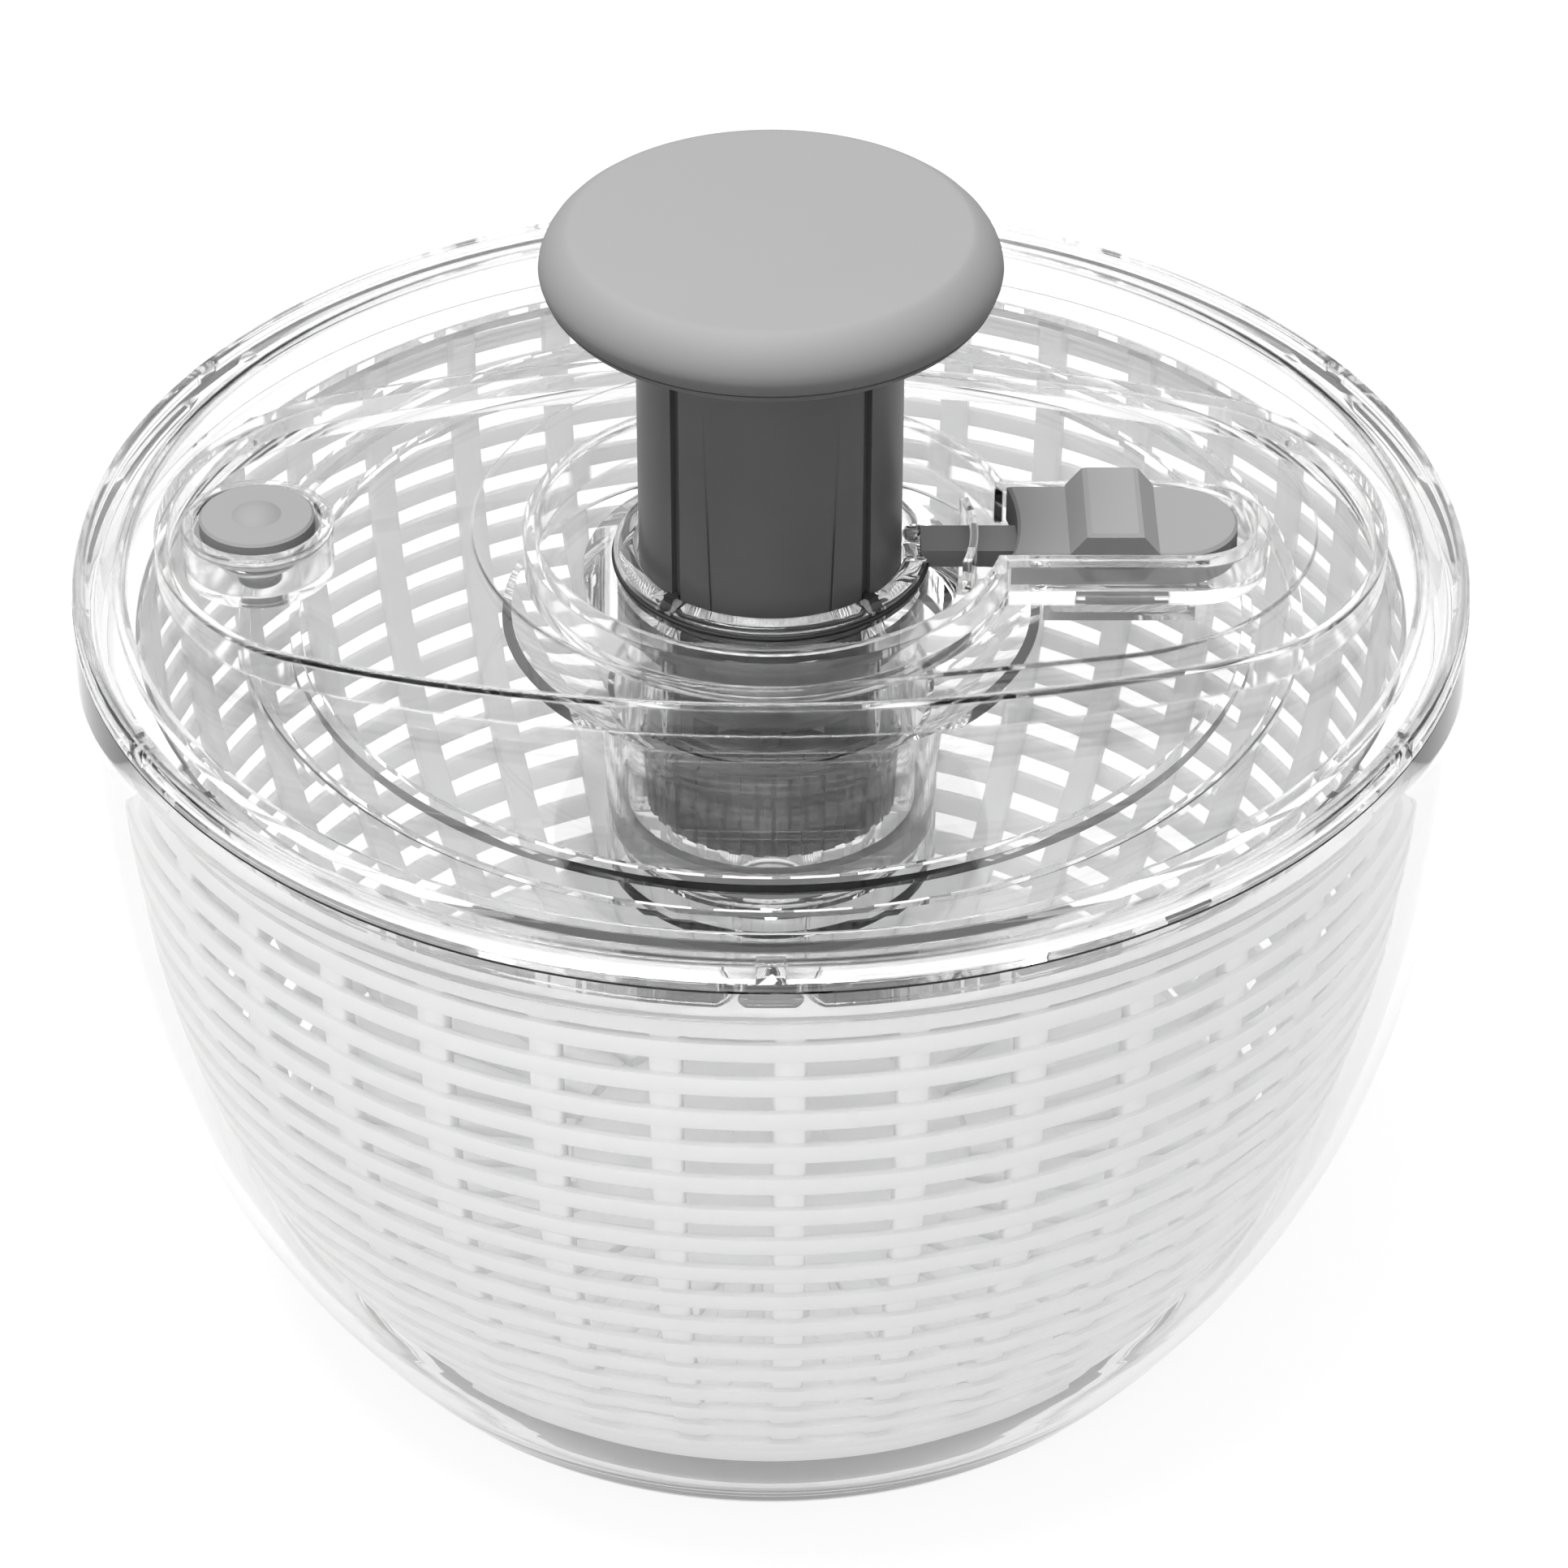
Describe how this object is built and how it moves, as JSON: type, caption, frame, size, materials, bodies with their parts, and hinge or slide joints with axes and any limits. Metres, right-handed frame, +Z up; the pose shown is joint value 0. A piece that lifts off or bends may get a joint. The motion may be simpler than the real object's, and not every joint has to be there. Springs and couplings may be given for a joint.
{
  "type": "salad spinner",
  "caption": "Salad spinner: clear bowl, white ribbed basket, clear lid with a pump knob, brake button and lock slider.",
  "frame": {"origin": "middle of the bowl's base, on the surface it stands on", "axes": "+Z up along the plunger, front towards -Y, brake button on -X, lock slider on +X"},
  "size_m": [0.2668, 0.2668, 0.2327],
  "materials": {
    "clear_plastic": "polished clear plastic",
    "white_plastic": "satin moulded",
    "dark_plastic": "fine matt texture",
    "grey_plastic": "fine matt texture",
    "pale_plastic": "smooth",
    "black_rubber": "smooth",
    "steel": "bright drawn wire and screws"
  },
  "bodies": {
    "bowl": {"bowl": "clear_plastic"},
    "basket": {"basket": "white_plastic"},
    "lid": {"lid_shell": "clear_plastic", "lid_ring": "clear_plastic", "guide_tube": "clear_plastic", "collar_seal": "black_rubber", "guide_keys": "dark_plastic", "slider_guide": "clear_plastic", "detent_spring": "steel"},
    "drive": {"drive_disc": "clear_plastic", "bearing_ring": "pale_plastic", "clutch_drum": "dark_plastic", "clutch_cap": "dark_plastic", "thrust_washer": "steel"},
    "nut": {"drive_nut": "grey_plastic"},
    "plunger": {"knob_cap": "grey_plastic", "knob_base": "grey_plastic", "knob_screws": "steel", "rod_screw": "steel", "plunger_tube": "dark_plastic", "twist_rod": "dark_plastic", "return_spring": "steel"},
    "brake": {"brake_button": "grey_plastic", "brake_washer": "pale_plastic", "brake_stem": "grey_plastic", "brake_pad": "black_rubber", "brake_spring": "steel"},
    "lock": {"lock_slider": "grey_plastic", "slider_foot": "pale_plastic"}
  },
  "joints": [
    {"name": "basket_spin", "type": "hinge", "parent": "bowl", "child": "basket", "pos_m": [0, 0, 0.017], "axis": [0, 0, 1], "continuous": true},
    {"name": "lid_lift", "type": "slide", "parent": "bowl", "child": "lid", "axis": [0, 0, 1], "range_m": [0, 0.12]},
    {"name": "drive_spin", "type": "hinge", "parent": "lid", "child": "drive", "pos_m": [0, 0, 0.1], "axis": [0, 0, 1], "continuous": true},
    {"name": "plunger_slide", "type": "slide", "parent": "lid", "child": "plunger", "axis": [0, 0, 1], "range_m": [-0.052, 0], "stiffness_N_per_m": 120, "springref_m": 0.035, "deforming": ["return_spring"]},
    {"name": "nut_turn", "type": "hinge", "parent": "lid", "child": "nut", "pos_m": [0, 0, 0.117], "axis": [0, 0, 1], "range_deg": [-4, 700]},
    {"name": "brake_press", "type": "slide", "parent": "lid", "child": "brake", "axis": [0, 0, 1], "range_m": [-0.0028, 0], "stiffness_N_per_m": 900, "springref_m": 0.0015, "deforming": ["brake_spring"]},
    {"name": "lock_slide", "type": "slide", "parent": "lid", "child": "lock", "axis": [1, 0, 0], "range_m": [-0.0045, 0]}
  ],
  "couplings": [
    {"joint": "drive_spin", "follows": "basket_spin", "ratio": 1},
    {"joint": "nut_turn", "follows": "plunger_slide", "rad_per_m": -232.71}
  ]
}
